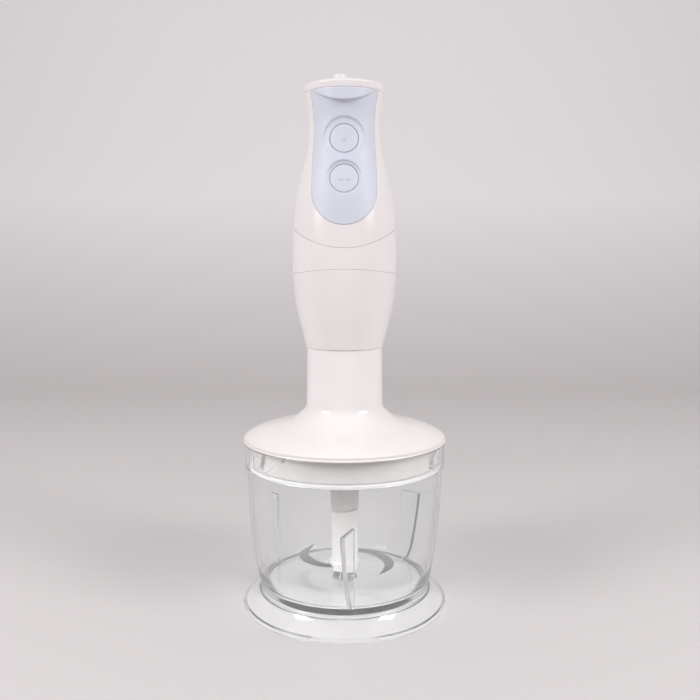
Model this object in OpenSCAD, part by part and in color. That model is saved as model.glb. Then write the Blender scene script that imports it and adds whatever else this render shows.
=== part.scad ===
// Hand blender standing on its chopping bowl.
// Frame: Z up, origin on the table under the middle of the bowl's foot, front (buttons) towards -Y.

/* [Bowl] */
// Radius of the flared foot on the table
foot_r = 57.1; // [56:0.1:60]
// Height of the bowl's rim
bowl_h = 93; // [92.5:0.1:93]
// Thickness of the bowl's wall
bowl_wall = 2; // [1.6:0.1:2.2]
// Outer radius of the collar round the bowl's mouth
collar_r = 55.3; // [55:0.1:56]

/* [Lid] */
// Radius of the lid's rim
lid_r = 56; // [55:0.1:57]
// Radius of the lid's neck
neck_r = 20.95; // [20.5:0.05:21.1]
// Height of the joint between lid and handle
joint_z = 144; // [143.5:0.1:144.2]

/* [Handle] */
// Height of the handle's top corner
top_z = 282.4; // [282:0.1:284]
// Thickness of the handle's shells
shell = 2.2; // [1.8:0.1:2.4]
// Radius of the push buttons
button_r = 7.2; // [6.8:0.1:7.4]
// Travel of the push buttons
button_travel = 2; // [1.5:0.1:2]

/* [Gears] */
// Gear module
gear_m = 0.7; // [0.7:0.01:0.7]
// Teeth on the sun gear
sun_teeth = 12; // [12:3:12]
// Teeth on each planet gear
planet_teeth = 15; // [15:3:15]

/* [Hidden] */
$fn = 64;
eps = 0.01;
gap = 0.1;

// ---- Shared helpers ------------------------------------------------------

// A smooth curve through [z, r] knots, with slopes from the neighbouring knots.
function knot_slope(k, i) = let (a = max(i - 1, 0), b = min(i + 1, len(k) - 1))
    (k[b][1] - k[a][1]) / (k[b][0] - k[a][0]);
function knot_span(k, z, i = 0) = (i >= len(k) - 2 || z < k[i + 1][0]) ? i : knot_span(k, z, i + 1);
function curve_r(k, z) = let (
        i = knot_span(k, z),
        h = k[i + 1][0] - k[i][0],
        t = (z - k[i][0]) / h)
    k[i][1] * (2 * pow(t, 3) - 3 * t * t + 1) + k[i + 1][1] * (3 * t * t - 2 * pow(t, 3))
    + h * knot_slope(k, i) * (pow(t, 3) - 2 * t * t + t) + h * knot_slope(k, i + 1) * (pow(t, 3) - t * t);

// A tube or disc on the Z axis.
module ring(z0, z1, r_out, r_in = 0) {
    translate([0, 0, z0]) difference() {
        cylinder(h = z1 - z0, r = r_out);
        if (r_in > 0) translate([0, 0, -1]) cylinder(h = z1 - z0 + 2, r = r_in);
    }
}

// A sector of angle a about the direction mid, used to cut rings into segments.
module wedge(z0, z1, mid, a, reach = 80)
    translate([0, 0, z0]) linear_extrude(z1 - z0)
        polygon([[0, 0], for (s = [-0.5, -0.25, 0, 0.25, 0.5])
            reach * [cos(mid + s * a), sin(mid + s * a)]]);

// Three equal ring segments, such as bayonet lugs and coupling jaws.
module segments(z0, z1, r_out, r_in, mid, a)
    intersection() {
        ring(z0, z1, r_out, r_in);
        union() for (k = [0:2]) wedge(z0 - 1, z1 + 1, mid + 120 * k, a);
    }

// A cylinder along Y between two depths.
module along_y(y0, y1, r, x = 0, z = 0)
    translate([x, y1, z]) rotate([90, 0, 0]) cylinder(h = y1 - y0, r = r);

// ---- Bowl ----------------------------------------------------------------

foot_h = 12.5;      // height of the waist between foot and bowl
waist_r = 47.7;     // outer radius at that waist
ledge_z = 79;       // the wall steps out here into the collar
wall_top_r = 54.1;  // outer radius just under the step
floor_z = 13.3;     // top of the bowl's floor
floor_t = 2.8;
rim_h = 2.2;        // height of the foot's straight edge
rib_t = 2;
boss_h = 3.4;       // raised boss round the blade's pin

collar_in = collar_r - bowl_wall;
function foot_out(z) = waist_r + (foot_r - waist_r) * pow(1 - (z - rim_h) / (foot_h - rim_h), 2.2);
function wall_out(z) = waist_r + (wall_top_r - waist_r) * (1 - pow((ledge_z - z) / (ledge_z - foot_h), 2));
cup_low = floor_z - floor_t;
foot_top = cup_low - 0.05;
wall_steps = [cup_low + 1.3:(ledge_z - foot_h) / 8:ledge_z - 1];
inner_steps = [for (s = [1:8]) floor_z + 5 + (ledge_z - floor_z - 5) * s / 8];

module bowl_shell() rotate_extrude() polygon(concat(
    [[0, cup_low], [waist_r - 1.2, cup_low]],
    [for (z = wall_steps) [wall_out(z), z]],
    [[wall_top_r, ledge_z], [collar_r, ledge_z + 1], [collar_r, bowl_h], [collar_in, bowl_h],
        [collar_in, ledge_z], [wall_top_r - bowl_wall, ledge_z]],
    [for (s = [7:-1:0]) let (z = inner_steps[s] - 1) [wall_out(z) - bowl_wall, z]],
    [[45.2, floor_z + 2.2], [43, floor_z + 0.5], [40.5, floor_z], [7, floor_z],
        [5, floor_z + boss_h], [0, floor_z + boss_h]]));

// Flared skirt welded under the cup: its foot stands on the table.
module bowl_foot() color([0.86, 0.88, 0.88, 0.4]) rotate_extrude() polygon(concat(
    [[45.2, foot_top], [foot_out(foot_top), foot_top]],
    [for (s = [5:-1:0]) let (z = rim_h + (foot_top - 0.8 - rim_h) * s / 5) [foot_out(z), z]],
    [[foot_r, 0], [foot_r - bowl_wall, 0]],
    [for (s = [0:4]) let (z = rim_h + (foot_top - 2.4 - rim_h) * s / 4) [foot_out(z) - bowl_wall, z]]));

// A plate inside the wall that swirls inwards. Its top rises a little towards its free edge.
rib_azimuth = -1.5;
rib_swirl = -30;
rib_root_r = 52;
rib_run = 14.6;     // from 3 mm outside the root to the free edge
rib_top = 55.3;
module rib() rotate(rib_azimuth) translate([0, -rib_root_r, 0]) rotate(rib_swirl)
    translate([rib_t / 2, -3, 0]) rotate([90, 0, -90]) linear_extrude(rib_t)
        polygon([[0, floor_z - 1], [-rib_run, floor_z - 1], [-rib_run, rib_top], [1 - rib_run, rib_top + 0.5],
            [0, 53.5]]);

// The J-shaped track that a lid lug rests in and climbs: pocket wall, floor and ramp.
lug_azimuth = -57;
lug_z = 86.7;
lug_r = 2.6;
track_in = 51.4;
track_low = 83.4;
ramp_top = 91.1;
deg_mm = PI / 180 * collar_in;
track_t = 1;
flat_a = 7;         // the lug turns this far before the ramp begins
ramp_a = 14;
module lug_track() {
    ramp_len = ramp_a * deg_mm;
    slope = atan2(ramp_top - track_low, ramp_len);
    intersection() {
        ring(track_low - track_t, track_low, collar_in + 0.5, track_in);
        wedge(80, 90, lug_azimuth - 90 + (flat_a - 3.4) / 2 + 0.2, flat_a + 3.8);
    }
    intersection() {
        ring(81, 92.5, collar_in + 0.5, track_in);
        rotate(lug_azimuth + flat_a + ramp_a / 2)
            translate([0, -collar_in, (track_low + ramp_top - track_t) / 2]) rotate([0, -slope, 0])
                cube([ramp_len / cos(slope) + 0.6, 8, track_t], center = true);
    }
    intersection() {
        ring(track_low - 0.6, 90, collar_in + 0.5, track_in);
        rotate(lug_azimuth - 3.9) translate([-0.5, -60, track_low - 0.6]) cube([1, 10, 6.2]);
    }
}

module bowl() color([0.86, 0.88, 0.88, 0.4]) union() {
    difference() {
        bowl_shell();
        ring(cup_low + 1.2, 30, 3);
    }
    intersection() {
        union() for (k = [0:2]) rotate(120 * k) rib();
        rotate_extrude() polygon(concat([[30, floor_z - 0.8], [46, floor_z - 0.8]],
            [for (z = [18:11:62]) [wall_out(z) - bowl_wall / 2, z]], [[30, 62]]));
    }
    for (k = [0:2]) rotate(120 * k) lug_track();
}

// Steel pin moulded into the floor, on which the blade unit stands and turns.
pin_r = 3;
pin_top = 44;
module blade_pin() color("silver") union() {
    ring(cup_low + 1.2, pin_top - 1, pin_r);
    translate([0, 0, pin_top - 1]) cylinder(h = 1, r1 = pin_r, r2 = pin_r - 1);
}

// ---- Blade unit ----------------------------------------------------------

hub_r = 7.6;
hub_low = 18.2;
hub_top = 52.6;
hub_neck_r = 5.5;
jaw_z = 60;         // the two halves of the output coupling meet from here
jaw_h = 6;
jaw_angle = 30;
blade_t = 1.2;
blade_z = [20, 26.3];
bushing_r = 4.4;

module blade_hub() color("white") difference() {
    union() {
        ring(hub_low + 5, hub_top, hub_r);
        translate([0, 0, hub_low]) cylinder(h = 5, r1 = hub_r + 0.2, r2 = hub_r + 1.2);
        ring(hub_top - 1, jaw_z, hub_neck_r);
        segments(jaw_z - eps, jaw_z + jaw_h, hub_neck_r, 2.4, 0, jaw_angle);
    }
    ring(hub_low - 1, pin_top + 2, bushing_r);
    translate([0, 0, hub_top]) rotate([0, -7, 0]) difference() {
        translate([-15, -15, 0]) cube([30, 30, 3]);
        translate([0, 0, -1]) cylinder(h = 5, r = hub_neck_r);
    }
    for (k = [0, 1]) blade_slot(k);
}

// Room for a blade's root where it is moulded into the hub.
module blade_slot(k) translate([0, 0, blade_z[k]]) linear_extrude(blade_t) blade_outline(k);

// A sickle: one disc less another, so that it narrows to a point, and its root in the hub.
sickle_r = 20;
sickle_at = [-7, 14.5];
bite_r = 23.4;
bite_at = [1.7, 18.5];
module blade_outline(k) rotate(180 * k) difference() {
    translate(sickle_at) circle(r = sickle_r);
    translate(bite_at) circle(r = bite_r);
    circle(r = 5.2);
}
module blade(k) color("lightsteelblue") translate([0, 0, blade_z[k]])
    linear_extrude(blade_t) blade_outline(k);
module lower_blade() blade(0);
module upper_blade() blade(1);

module hub_bushing() color("goldenrod") difference() {
    ring(hub_low, pin_top, bushing_r, pin_r + 0.05);
}

// ---- Lid -----------------------------------------------------------------

rim_z = 93.3;
base_z = 80.8;      // underside of the lid's base, which rests on the seal
base_t = 2;
skirt_r = 51;
skirt_t = 2;
neck_t = 2;
neck_in = neck_r - neck_t;
spigot_r = 15.6;
spigot_in = 13.2;
spigot_top = 155.6;
spigot_lug_r = 17.3;
lug_a = 24;
boss_at = 30;
floor_top = 112;    // top of the gearbox floor inside the neck

module lid_cover() color("white") difference() {
    union() {
        rotate_extrude() polygon([
            [neck_in, joint_z - 3], [neck_in, floor_top + 0.5], [20.3, 108.4], [22.6, 106], [26, 103.5],
            [30.5, 101.2], [36, 99.6], [42, 98.7], [48, 96.8], [52.6, 94.8], [53.6, rim_z],
            [lid_r, rim_z], [lid_r, rim_z + 1.4], [lid_r - 0.6, 95.3], [53, 96.7], [48, 98.8],
            [42, 100.7], [36, 101.6], [31, 103.2], [27, 105.6], [24, 108.3], [22, 110.2],
            [21.2, 112], [neck_r, 114], [neck_r, joint_z], [spigot_r, joint_z],
            [spigot_r, spigot_top], [spigot_in, spigot_top], [spigot_in, joint_z - 3]]);
        segments(151, 155, spigot_lug_r, spigot_r - 0.5, 30, lug_a);
        for (k = [0:2]) rotate(120 * k + 30) translate([boss_at, 0, base_z + base_t + gap])
            cylinder(h = 101.4 - base_z - base_t - gap, r = 3.4);
    }
    for (k = [0:2]) rotate(120 * k + 30) translate([boss_at, 0, base_z])
        cylinder(h = 16, r = 1.52);
}

module lid_base() color("white") difference() {
    union() {
        ring(base_z, rim_z + gap, skirt_r, skirt_r - skirt_t);
        ring(base_z, base_z + base_t, skirt_r);
        ring(rim_z + gap - 0.01, rim_z + 1, 52.4, skirt_r - skirt_t);
        ring(base_z, floor_top, 9);
        ring(floor_top - 2.5, floor_top, neck_in - 0.15);
        rotate_extrude() polygon([[0, base_z + 0.5], [11.4, base_z + 0.5], [10.6, base_z - 1.5],
            [9.4, 70.5], [8.2, 68.5], [7.9, 54], [0, 54]]);
        for (k = [0:2]) rotate(lug_azimuth + 120 * k)
            along_y(-track_in - 1.6, -skirt_r + 1, lug_r, 0, lug_z);
        for (k = [0:2]) rotate(lug_azimuth + 120 * k)
            translate([-0.7, -track_in - 1.2, lug_z]) cube([1.4, 2, rim_z - lug_z + 0.5]);
    }
    ring(50, 69, 6);
    ring(68, 84, 6.5);
    ring(83, 98, 5);
    ring(97, 115, 6.5);
    for (k = [0:2]) rotate(120 * k + 30) translate([boss_at, 0, base_z - 1]) cylinder(h = 5, r = 1.7);
    for (k = [0:2]) rotate(120 * k + 30) translate([boss_at, 0, base_z - 1]) cylinder(h = 2, r = 3.2);
}

spindle_r = 4;
module spindle_bushings() color("goldenrod") {
    ring(70, 84, 6.5, spindle_r + 0.05);
    ring(97, 111, 6.5, spindle_r + 0.05);
}

module lid_screws() color("silver") for (k = [0:2]) rotate(120 * k + 30) translate([boss_at, 0, 0]) {
    ring(base_z + 0.2, base_z + 1, 3);
    ring(base_z + 1 - eps, base_z + 14, 1.5);
}

// Flat ring on the ledge inside the bowl's mouth, which the lid's skirt presses on.
module lid_seal() color("whitesmoke") ring(ledge_z + 0.05, base_z - 0.05, 52.9, 49.6);

// ---- Planetary reduction --------------------------------------------------

ring_teeth = sun_teeth + 2 * planet_teeth;
centre_d = gear_m * (sun_teeth + planet_teeth) / 2;
press_angle = 25;
addendum = 0.8 * gear_m;
dedendum = 1.05 * gear_m;
play = 0.04;        // taken off each flank
gear_z0 = 118;
gear_z1 = 129.5;
pin_hole = 1.6;

function inv(a) = tan(a) - a * PI / 180;
function flank(teeth, r, slack) = let (
        rp = gear_m * teeth / 2,
        rb = rp * cos(press_angle),
        a = r > rb ? acos(rb / r) : 0)
    90 / teeth + (inv(press_angle) - inv(a) - slack / rp) * 180 / PI;
module gear_2d(teeth, tip, root, slack) polygon([for (i = [0:teeth - 1], s = [0:7]) let (
        side = s < 4 ? -1 : 1,
        r = root + (tip - root) * (s < 4 ? s : 7 - s) / 3,
        a = 360 * i / teeth + side * flank(teeth, r, slack)) r * [cos(a), sin(a)]]);

module sun_gear() color("ivory") union() {
    translate([0, 0, gear_z0]) linear_extrude(13) gear_2d(sun_teeth,
        gear_m * sun_teeth / 2 + addendum, gear_m * sun_teeth / 2 - dedendum, play);
    ring(gear_z0 + 13 - eps, 138.5, 2.5);
    ring(gear_z0 - 2.6, gear_z0 + eps, 1.5);
}

module input_coupling() color("dimgray") difference() {
    union() {
        ring(134.6, 138.5, 8);
        segments(138.5 - eps, 144.5, 8, 3, 0, jaw_angle);
    }
    ring(134, 139, 2.51);
}

module planet(k) color("ivory") rotate(120 * k) translate([centre_d, 0, gear_z0]) difference() {
    linear_extrude(gear_z1 - gear_z0) gear_2d(planet_teeth,
        gear_m * planet_teeth / 2 + addendum, gear_m * planet_teeth / 2 - dedendum, play);
    translate([0, 0, -1]) cylinder(h = 20, r = pin_hole + 0.05);
}
module planet_gear_1() planet(0);
module planet_gear_2() planet(1);
module planet_gear_3() planet(2);

module ring_gear() color("gray") difference() {
    ring(floor_top + gap, 132, neck_in - 0.15);
    ring(floor_top, gear_z0 - 0.3, 16.2);
    translate([0, 0, gear_z0 - 0.4]) linear_extrude(20) gear_2d(ring_teeth,
        gear_m * ring_teeth / 2 + dedendum, gear_m * ring_teeth / 2 - addendum, -play);
}

module gearbox_cover() color("lightgray") ring(132.1, 134.1, neck_in - 0.15, 2.58);

module planet_carrier() color("gainsboro") difference() {
    ring(floor_top + 0.5, gear_z0 - 0.3, 14.6);
    ring(gear_z0 - 3, gear_z0, 1.56);
    ring(floor_top, floor_top + 2.4, spindle_r + gap);
    for (k = [0:2]) rotate(120 * k) translate([centre_d, 0, floor_top + 1.5]) cylinder(h = 9, r = pin_hole);
}

module planet_pins() color("silver") for (k = [0:2]) rotate(120 * k) translate([centre_d, 0, 0])
    ring(floor_top + 1.5, gear_z1 + 0.6, pin_hole);

module output_spindle() color("silver") union() {
    ring(68.6, floor_top + 2.3, spindle_r);
    ring(jaw_z + jaw_h + 0.4, 68.6 + eps, 5.6);
    segments(jaw_z + 0.4, jaw_z + jaw_h + 0.4 + eps, 5.6, 2.4, 60, jaw_angle);
}

// ---- Handle shells --------------------------------------------------------

body_knots = [[144.6, 21.1], [152, 22.9], [160, 24.9], [170, 26.8], [184, 28.0], [202, 27.75], [218, 26.7],
    [230, 24.8], [240, 22.3], [250, 19.9], [262, 18.85], [272, 19.6], [top_z, 21.2]];
function body_r(z) = curve_r(body_knots, z);
low_z = body_knots[0][0];
cap_z = 279.6;
frown_r = 135;
frown_z = 187.3 - frown_r;
smile_r = 42;
smile_z = 198.2 + smile_r;
pad_half = 16.9;
pad_low = 210;
pad_top = 279;
speed_z = 254;
turbo_z = 233.5;
well_r = button_r + 0.45;

// The handle's solid form between two heights, grown or shrunk by d.
module body_solid(z0, z1, d = 0) {
    n = ceil((z1 - z0) / 4);
    rotate_extrude() polygon(concat([[0, z0]],
        [for (i = [0:n]) let (z = z0 + (z1 - z0) * i / n) [body_r(z) + d, z]], [[0, z1]]));
}
module body_shell(z0, z1) difference() {
    body_solid(z0, z1);
    body_solid(z0, z1, -shell);
    ring(z0 - 1, z0 + 1, body_r(z0) - shell);
    ring(z1 - 1, z1 + 1, body_r(z1) - shell);
}
module front_half(y = 0) translate([-60, y - 60, 140]) cube([120, 60, 160]);

// Outline of the soft pad: nearly straight sides, a round lower end, slightly flared at the top.
module pad_outline(d = 0) translate([0, 30, 0]) rotate([90, 0, 0]) linear_extrude(60) {
    translate([0, pad_low + pad_half]) circle(r = pad_half + d);
    polygon([[-pad_half - d, pad_low + pad_half], [pad_half + d, pad_low + pad_half],
        [pad_half - 0.3 + d, 245], [15.7 + d, 262], [16.2 + d, 270], [17.6 + d, pad_top + d],
        [-17.6 - d, pad_top + d], [-16.2 - d, 270], [-15.7 - d, 262], [-pad_half + 0.3 - d, 245]]);
}
module button_wells(r) for (z = [speed_z, turbo_z]) along_y(-40, -6, r, 0, z);

module lower_housing() color("white") difference() {
    union() {
        body_shell(low_z, 190);
        intersection() {
            ring(160.2, 163, 26);
            body_solid(low_z, 190, -1);
        }
        ring(156, 163, 7.5);
    }
    ring(150, 170, 5);
    for (k = [0:5]) rotate(60 * k) translate([14, 0, 150]) cylinder(h = 20, r = 4);
    difference() {
        translate([-50, -50, 170]) cube([100, 100, 40]);
        translate([0, 60, frown_z]) rotate([90, 0, 0]) cylinder(h = 120, r = frown_r, $fn = 200);
    }
}

module above_frown(d) difference() {
    translate([-50, -50, 170]) cube([100, 100, 120]);
    translate([0, 60, frown_z]) rotate([90, 0, 0]) cylinder(h = 120, r = frown_r + d, $fn = 200);
}

// Region of the front cover: a round lower edge, straight up from its widest point.
module cover_region(d) union() {
    along_y(-60, 60, smile_r - d, 0, smile_z);
    translate([-smile_r + d, -60, smile_z]) cube([2 * (smile_r - d), 120, 60]);
}

screw_z = 272;
screw_y = body_r(screw_z) - 3.1;    // seat of the housing screw's head
module rear_shell() color("white") difference() {
    union() {
        difference() {
            intersection() {
                body_shell(180, cap_z - gap);
                above_frown(gap);
            }
            intersection() {
                front_half();
                cover_region(0);
            }
            for (k = [0:4]) translate([-9, 10, 258 - 6 * k]) cube([18, 30, 2]);
        }
        intersection() {
            union() {
                along_y(0.3, 30, 3, 0, screw_z);
                along_y(12, 30, 4.4, 0, screw_z);
            }
            body_solid(200, cap_z - gap, -1);
        }
    }
    along_y(-1, 40, 1.6, 0, screw_z);
    along_y(screw_y - 0.1, 40, 3.2, 0, screw_z);
}

module front_cover() color("white") difference() {
    union() {
        difference() {
            intersection() {
                body_shell(190, cap_z - gap);
                front_half(-gap);
                cover_region(gap);
            }
            intersection() {
                difference() {
                    body_solid(200, cap_z, 1);
                    body_solid(200, cap_z, -1.2);
                }
                pad_outline();
                front_half(-2);
            }
        }
        intersection() {
            union() {
                along_y(-30, -16.6, well_r + 1.4, 0, speed_z);
                along_y(-30, -19, well_r + 1.4, 0, turbo_z);
            }
            body_solid(200, cap_z, -1.3);
        }
        intersection() {
            along_y(-30, -0.5, 3, 0, screw_z);
            body_solid(200, cap_z, -1.3);
        }
    }
    button_wells(well_r);
    along_y(-10, 1, 1.32, 0, screw_z);
}

// Soft over-moulded pad in a recess of the cover, with a thumb lip across its top.
lip_r = 17.5;
lip_y = -6.2;
module soft_pad() color([0.78, 0.82, 0.9]) difference() {
    union() {
        intersection() {
            difference() {
                body_solid(200, cap_z, 0.35);
                body_solid(200, cap_z, -1.2);
            }
            pad_outline(-0.02);
            front_half(-2);
        }
        intersection() {
            translate([0, lip_y, 268]) cylinder(h = pad_top - 267, r = lip_r);
            translate([0, 0, 298.7]) along_y(-60, 0, 26);
            pad_outline(-0.02);
            difference() {
                front_half(-2);
                body_solid(262, cap_z, -0.5);
            }
        }
    }
    button_wells(well_r);
}

// Domed cap that closes the top of the handle.
dome_h = 3.2;
dome_r = (pow(20.6, 2) + pow(dome_h, 2)) / (2 * dome_h);
gland_at = [-2.4, 2];
module cap_dome(d) rotate_extrude() polygon(concat([[0, cap_z - 5], [body_r(cap_z) - d, cap_z - 5],
    [body_r(cap_z) - d, cap_z], [21.2 - d, top_z], [20.6 - d, top_z + 0.9 - d / 2]],
    [for (s = [1:6]) let (r = (20.6 - d) * (1 - s / 6))
        [r, top_z + 0.9 + dome_h - d - (dome_r - sqrt(dome_r * dome_r - r * r))]]));
module top_cap() color("white") difference() {
    cap_dome(0);
    intersection() {
        cap_dome(shell);
        ring(cap_z - 6, 290, 19);
    }
    ring(cap_z - 6, cap_z, 40);
    translate([gland_at[0], gland_at[1], 270]) cylinder(h = 30, r = 3.6);
}

// Rubber gland where the mains lead leaves the cap.
module cord_gland() color("white") translate([gland_at[0], gland_at[1], 0]) difference() {
    union() {
        ring(287, 289.6, 3.5);
        ring(280, 287 + eps, 3.5);
        ring(286.55, 287.3, 4.5);
        ring(280, 283, 5);
    }
    ring(279, 291, 2.6);
}

module cord_clamp() color("gainsboro") difference() {
    translate([-12, -4, 275.6]) cube([20, 12, 3]);
    translate([gland_at[0], gland_at[1], 270]) cylinder(h = 10, r = 2.7);
}

// Ring inside the foot of the handle that the lid's spigot turns and locks in.
module bayonet_ring() color("gainsboro") difference() {
    ring(145.2, 159.8, 18.7, 16);
    ring(150.6, 155.5, 17.6);
    for (k = [0:2]) wedge_slot(30 + 120 * k - 26);
}
module wedge_slot(mid) intersection() {
    ring(144, 151, 17.6);
    wedge(144, 151, mid, lug_a + 3);
}

// ---- Motor ----------------------------------------------------------------

can_r = 17.5;
can_z0 = 174;
can_z1 = 214;
shaft_r = 2;

module motor_can() color("silver") difference() {
    union() {
        ring(can_z0, can_z1, can_r);
        ring(can_z0 - 3, can_z0 + 1, 6);
    }
    ring(can_z0 + 1.2, can_z1 + 1, can_r - 1.2);
    ring(can_z0 - 4, can_z0 + 5, 5);
    for (k = [0:3]) rotate(90 * k + 45) translate([11, 0, can_z0 - 1]) cylinder(h = 4, r = 2.2);
}

module motor_magnets() color("dimgray") intersection() {
    ring(can_z0 + 5, can_z1 - 4, can_r - 1.25, 12.4);
    for (a = [0, 180]) wedge(can_z0, can_z1, a + 90, 130);
}

module end_bell() color("darkslategray") difference() {
    union() {
        ring(can_z1 + gap, can_z1 + 9, can_r, can_r - 2);
        ring(can_z1 + 7, can_z1 + 9, can_r);
        ring(can_z1 + 4.5, can_z1 + 11, 6);
    }
    ring(can_z1 + 3, can_z1 + 12, 5);
    for (s = [-1, 1]) translate([s * 12.8 - 6.3, -2.6, can_z1 + 0.8]) cube([12.6, 5.2, 5]);
}

module motor_bearings() color("goldenrod") {
    ring(can_z0 - 3, can_z0 + 3, 5, shaft_r + 0.05);
    ring(can_z1 + 5, can_z1 + 11, 5, shaft_r + 0.05);
    ring(156, 162, 5, shaft_r + 0.05);
}

module brush_holders() color("goldenrod") for (s = [-1, 1]) difference() {
    translate([s * 11.3 - 4.9, -2.5, can_z1 + 0.9]) cube([9.8, 5, 4]);
    translate([s * 11.3 - 6, -2, can_z1 + 1.4]) cube([12, 4, 3]);
}
module carbon_brushes() color("dimgray") for (s = [-1, 1])
    translate([s * 9.1 - 4.5, -1.95, can_z1 + 1.45]) cube([9, 3.9, 2.5]);

module motor_mounts() color("dimgray") for (z = [180, 206])
    ring(z, z + 3, body_r(z) - shell - 0.6, can_r + 0.02);

module motor_shaft() color("silver") ring(146, can_z1 + 13, shaft_r);

core_r = 12;
module armature_core() color("slategray") translate([0, 0, can_z0 + 9]) difference() {
    cylinder(h = 22, r = core_r);
    translate([0, 0, -1]) cylinder(h = 24, r = shaft_r + 0.01);
    for (k = [0:4]) rotate(72 * k) translate([7.8, 0, -1]) cylinder(h = 24, r = 2.8);
    for (k = [0:4]) rotate(72 * k) translate([7.8, -0.8, -1]) cube([6, 1.6, 24]);
}
module armature_windings() color("peru") translate([0, 0, can_z0 + 9]) union() {
    for (k = [0:4]) rotate(72 * k) translate([7.8, 0, -1]) cylinder(h = 24, r = 2.7);
    for (z = [-4.2, 22.1]) translate([0, 0, z]) difference() {
        cylinder(h = 4.1, r = 10.6);
        translate([0, 0, -1]) cylinder(h = 7, r = 4.6);
    }
}
module commutator() color("peru") translate([0, 0, can_z1 - 1]) difference() {
    cylinder(h = 5.8, r = 4.5);
    translate([0, 0, -1]) cylinder(h = 10, r = shaft_r + 0.01);
    for (k = [0:9]) rotate(36 * k) translate([3.4, -0.15, -1]) cube([3, 0.3, 10]);
}
module cooling_fan() color("black") difference() {
    union() {
        ring(164, 165.2, 16);
        ring(164, 170, 4.5);
        for (k = [0:10]) rotate(360 / 11 * k) translate([4, -0.5, 165]) cube([12, 1, 4.5]);
    }
    ring(163, 171, shaft_r + 0.01);
}
module drive_dog() color("dimgray") difference() {
    union() {
        ring(145.4, 151, 8);
        segments(139.2, 145.4 + eps, 8, 3, 60, jaw_angle);
    }
    ring(146, 152, shaft_r + 0.01);
}

// ---- Chassis and electrics -------------------------------------------------

board_y = -2.6;
module chassis() color("gainsboro") difference() {
    union() {
        translate([-11.5, board_y + 1.7, 227.6]) cube([23, 1.8, 38]);
        for (s = [-1, 1]) translate([s * 11 - 1, board_y + 1.7, 227.6]) cube([2, 9, 38]);
        ring(226, 228, 15.5, 8);
    }
    translate([-6.5, board_y, 232]) cube([13, 6, 26]);
}
module circuit_board() color("seagreen") translate([-11, board_y, 228.5]) cube([22, 1.6, 34]);
module capacitor() color("goldenrod") translate([-6, board_y + 1.7, 246]) cube([12, 8, 11]);
module rectifier() color("black") translate([-5, board_y + 1.7, 234]) cube([10, 4, 9]);

switch_front = -9.1;
stem_end = -11.35;
module microswitches() color("black") difference() {
    for (z = [speed_z, turbo_z]) translate([-6.4, switch_front, z - 3.2])
        cube([12.8, board_y - switch_front - 0.05, 6.4]);
    for (z = [speed_z, turbo_z]) along_y(switch_front - 1, -6, 1.3, 0, z);
}

module housing_screws() color("silver") {
    along_y(screw_y, screw_y + 1.4, 2.9, 0, screw_z);
    along_y(-8, screw_y + eps, 1.3, 0, screw_z);
}

// ---- Push buttons -----------------------------------------------------------

button_back = [-15.4, -18];
module button_cap(z, back, pips) union() {
    intersection() {
        along_y(-40, back, button_r, 0, z);
        body_solid(200, cap_z, -0.25);
    }
    along_y(back - eps, stem_end, 2, 0, z);
    intersection() {
        for (x = pips) along_y(-40, back, 0.7, x, z - 0.4);
        body_solid(200, cap_z, 0.15);
    }
}
module speed_button() color([0.8, 0.84, 0.92]) button_cap(speed_z, button_back[0], [0]);
module turbo_button() color([0.8, 0.84, 0.92]) button_cap(turbo_z, button_back[1], [-1.9, 1.9]);

module plunger(z) color("ivory") along_y(stem_end, -8.5, 1, 0, z);
module speed_plunger() plunger(speed_z);
module turbo_plunger() plunger(turbo_z);

// A round wire wound between two depths, swept as a closed tube.
wire_r = 0.35;
coil_r = 3.1;
module coil_spring(y0, y1, turns, z) {
    sides = 6;
    rings = turns * 12;
    pts = [for (i = [0:rings], j = [0:sides - 1]) let (
            a = 30 * i, b = 360 * j / sides,
            r = coil_r + wire_r * cos(b))
        [r * cos(a), y0 + wire_r + (y1 - y0 - 2 * wire_r) * i / rings + wire_r * sin(b), z + r * sin(a)]];
    sides_f = [for (i = [0:rings - 1], j = [0:sides - 1]) let (k = (j + 1) % sides)
        [i * sides + j, (i + 1) * sides + j, (i + 1) * sides + k, i * sides + k]];
    ends = [[for (j = [0:sides - 1]) j], [for (j = [sides - 1:-1:0]) rings * sides + j]];
    polyhedron(points = pts, faces = concat(sides_f, ends));
}
module speed_spring() color("silver") coil_spring(button_back[0] + 0.05, switch_front - 0.05, 5, speed_z);
module turbo_spring() color("silver") coil_spring(button_back[1] + 0.05, switch_front - 0.05, 6, turbo_z);

// ---- Assembly ----------------------------------------------------------------

bowl();
bowl_foot();
blade_pin();
blade_hub();
hub_bushing();
lower_blade();
upper_blade();
lid_seal();
lid_cover();
lid_base();
ring_gear();
gearbox_cover();
spindle_bushings();
lid_screws();
sun_gear();
input_coupling();
planet_carrier();
planet_pins();
output_spindle();
planet_gear_1();
planet_gear_2();
planet_gear_3();
lower_housing();
rear_shell();
front_cover();
soft_pad();
top_cap();
cord_gland();
cord_clamp();
bayonet_ring();
motor_can();
motor_magnets();
end_bell();
brush_holders();
carbon_brushes();
motor_bearings();
motor_mounts();
chassis();
circuit_board();
capacitor();
rectifier();
microswitches();
housing_screws();
motor_shaft();
armature_core();
armature_windings();
commutator();
cooling_fan();
drive_dog();
speed_button();
speed_plunger();
speed_spring();
turbo_button();
turbo_plunger();
turbo_spring();
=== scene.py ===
# A hand blender fitted on its chopping bowl. Metres, Z up, the buttons face -Y.
import math

import bpy
from mathutils import Matrix, Vector


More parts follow.
